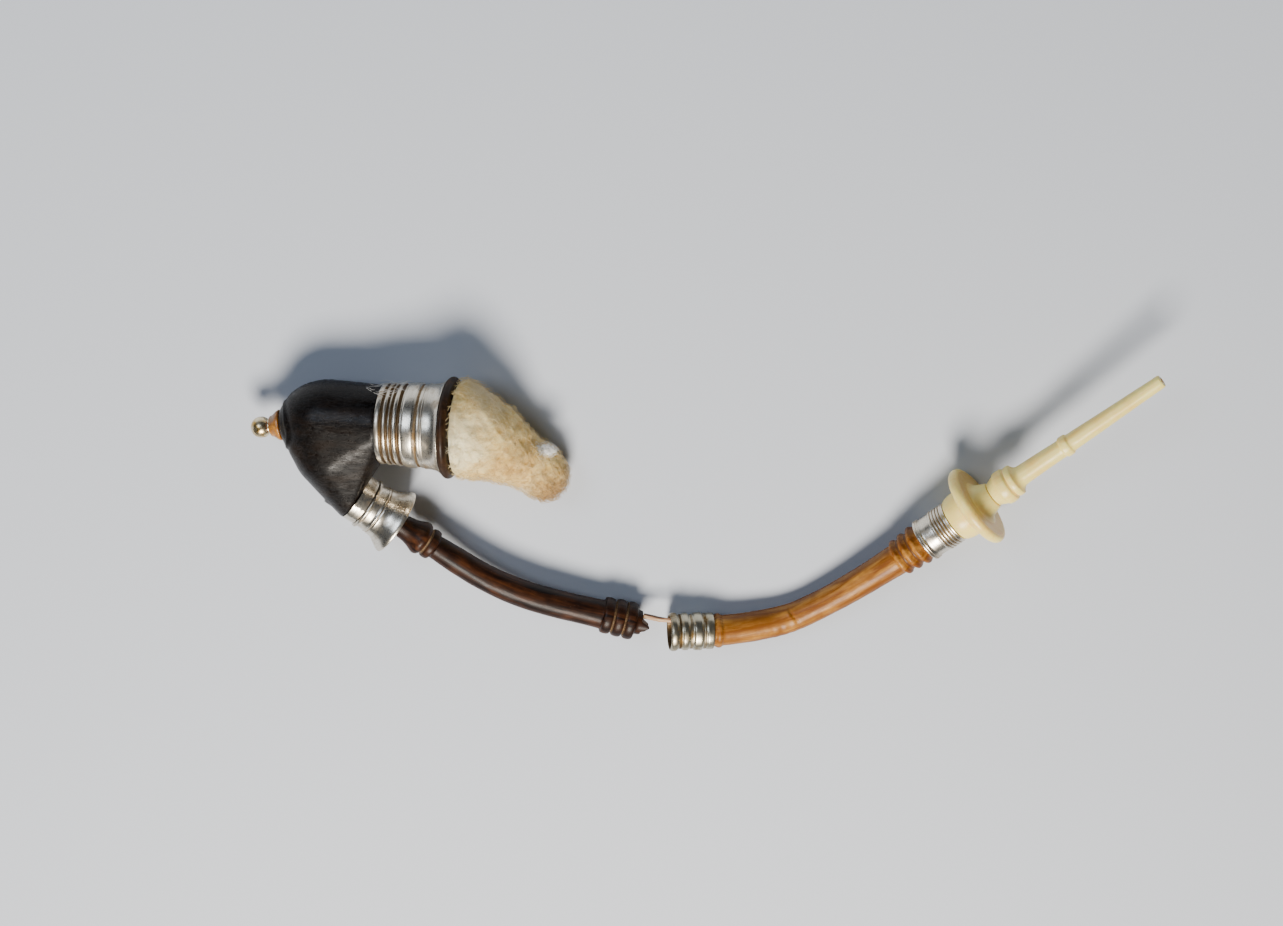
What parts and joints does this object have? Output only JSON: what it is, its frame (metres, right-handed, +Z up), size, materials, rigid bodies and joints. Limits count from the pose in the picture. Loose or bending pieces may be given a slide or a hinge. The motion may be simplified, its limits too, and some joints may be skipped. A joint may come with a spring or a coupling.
{
  "type": "apothecary inhaler",
  "caption": "Miniature pipe-shaped inhaler: dark horn reservoir, silver-mounted bowl stuffed with cotton, snapped two-piece stem and a bone mouthpiece with guard disc and nozzle.",
  "frame": {"origin": "on the surface the object lies on, below the centre of its bounding box", "axes": "+Z up, away from the surface; +X along the object's length, from the reservoir to the mouthpiece; +Y from the bend of the stem towards the bowl and the nozzle's tip"},
  "size_m": [0.117, 0.041, 0.0141],
  "materials": {
    "dark_horn": "polished near-black horn",
    "dark_brown_horn": "polished dark brown horn",
    "golden_brown_horn": "worn golden brown horn",
    "silver": "tarnished silver",
    "stained_pewter": "stained, worn white metal",
    "silvered_brass": "brass with worn silvering",
    "amber_resin": "old amber-coloured resin",
    "stained_cotton": "cotton wool with ochre stains",
    "cork": "cork",
    "waxed_thread": "waxed thread lapping",
    "raw_horn_splinter": "raw torn horn",
    "bone": "polished bone"
  },
  "bodies": {
    "reservoir": {"reservoir_body": "dark_horn", "bowl_collar": "silver", "bowl_rim": "dark_horn", "stem_band": "silver", "stem_collar": "silver"},
    "drain_seal": {"finial_seal": "amber_resin"},
    "drain_knob": {"finial_knob": "silvered_brass"},
    "cotton": {"cotton_wad": "stained_cotton"},
    "stem_cork": {"stem_cork": "cork"},
    "lower_stem": {"lower_stem": "dark_brown_horn", "splinter": "raw_horn_splinter"},
    "upper_stem": {"mid_ferrule": "stained_pewter", "tenon_stump": "dark_brown_horn", "ferrule_lapping": "waxed_thread", "upper_stem": "golden_brown_horn", "upper_ferrule": "silver"},
    "mouthpiece_lapping": {"mouthpiece_lapping": "waxed_thread"},
    "mouthpiece": {"mouthpiece_base": "bone", "nozzle": "bone"}
  },
  "joints": [
    {"name": "finial_out", "type": "slide", "parent": "reservoir", "child": "drain_seal", "axis": [-0.9865, -0.1386, -0.0872], "range_m": [0, 0.0024]},
    {"name": "finial_turn", "type": "hinge", "parent": "drain_seal", "child": "drain_knob", "pos_m": [-0.05436, 0.01228, 0.00495], "axis": [-0.9865, -0.1386, -0.0872], "range_deg": [0, 1440]},
    {"name": "cotton_out", "type": "slide", "parent": "reservoir", "child": "cotton", "axis": [0.9889, -0.0173, 0.1478], "range_m": [0, 0.008]},
    {"name": "stem_pull", "type": "slide", "parent": "reservoir", "child": "stem_cork", "axis": [0.8022, -0.5936, -0.0645], "range_m": [0, 0.006]},
    {"name": "stem_turn", "type": "hinge", "parent": "stem_cork", "child": "lower_stem", "pos_m": [-0.04536, 0.00248, 0.00511], "axis": [0.8022, -0.5936, -0.0645], "continuous": true},
    {"name": "break_swing", "type": "hinge", "parent": "lower_stem", "child": "upper_stem", "pos_m": [-0.00361, -0.01608, 0.00383], "axis": [0, 0, 1], "range_deg": [-12, 12]},
    {"name": "mouthpiece_pull", "type": "slide", "parent": "upper_stem", "child": "mouthpiece_lapping", "axis": [0.7551, 0.6401, 0.1418], "range_m": [0, 0.0022]},
    {"name": "mouthpiece_turn", "type": "hinge", "parent": "mouthpiece_lapping", "child": "mouthpiece", "pos_m": [0.03325, -0.0011, 0.00502], "axis": [0.7551, 0.6401, 0.1418], "continuous": true}
  ],
  "couplings": [
    {"joint": "finial_turn", "follows": "finial_out", "rad_per_m": 10472}
  ]
}
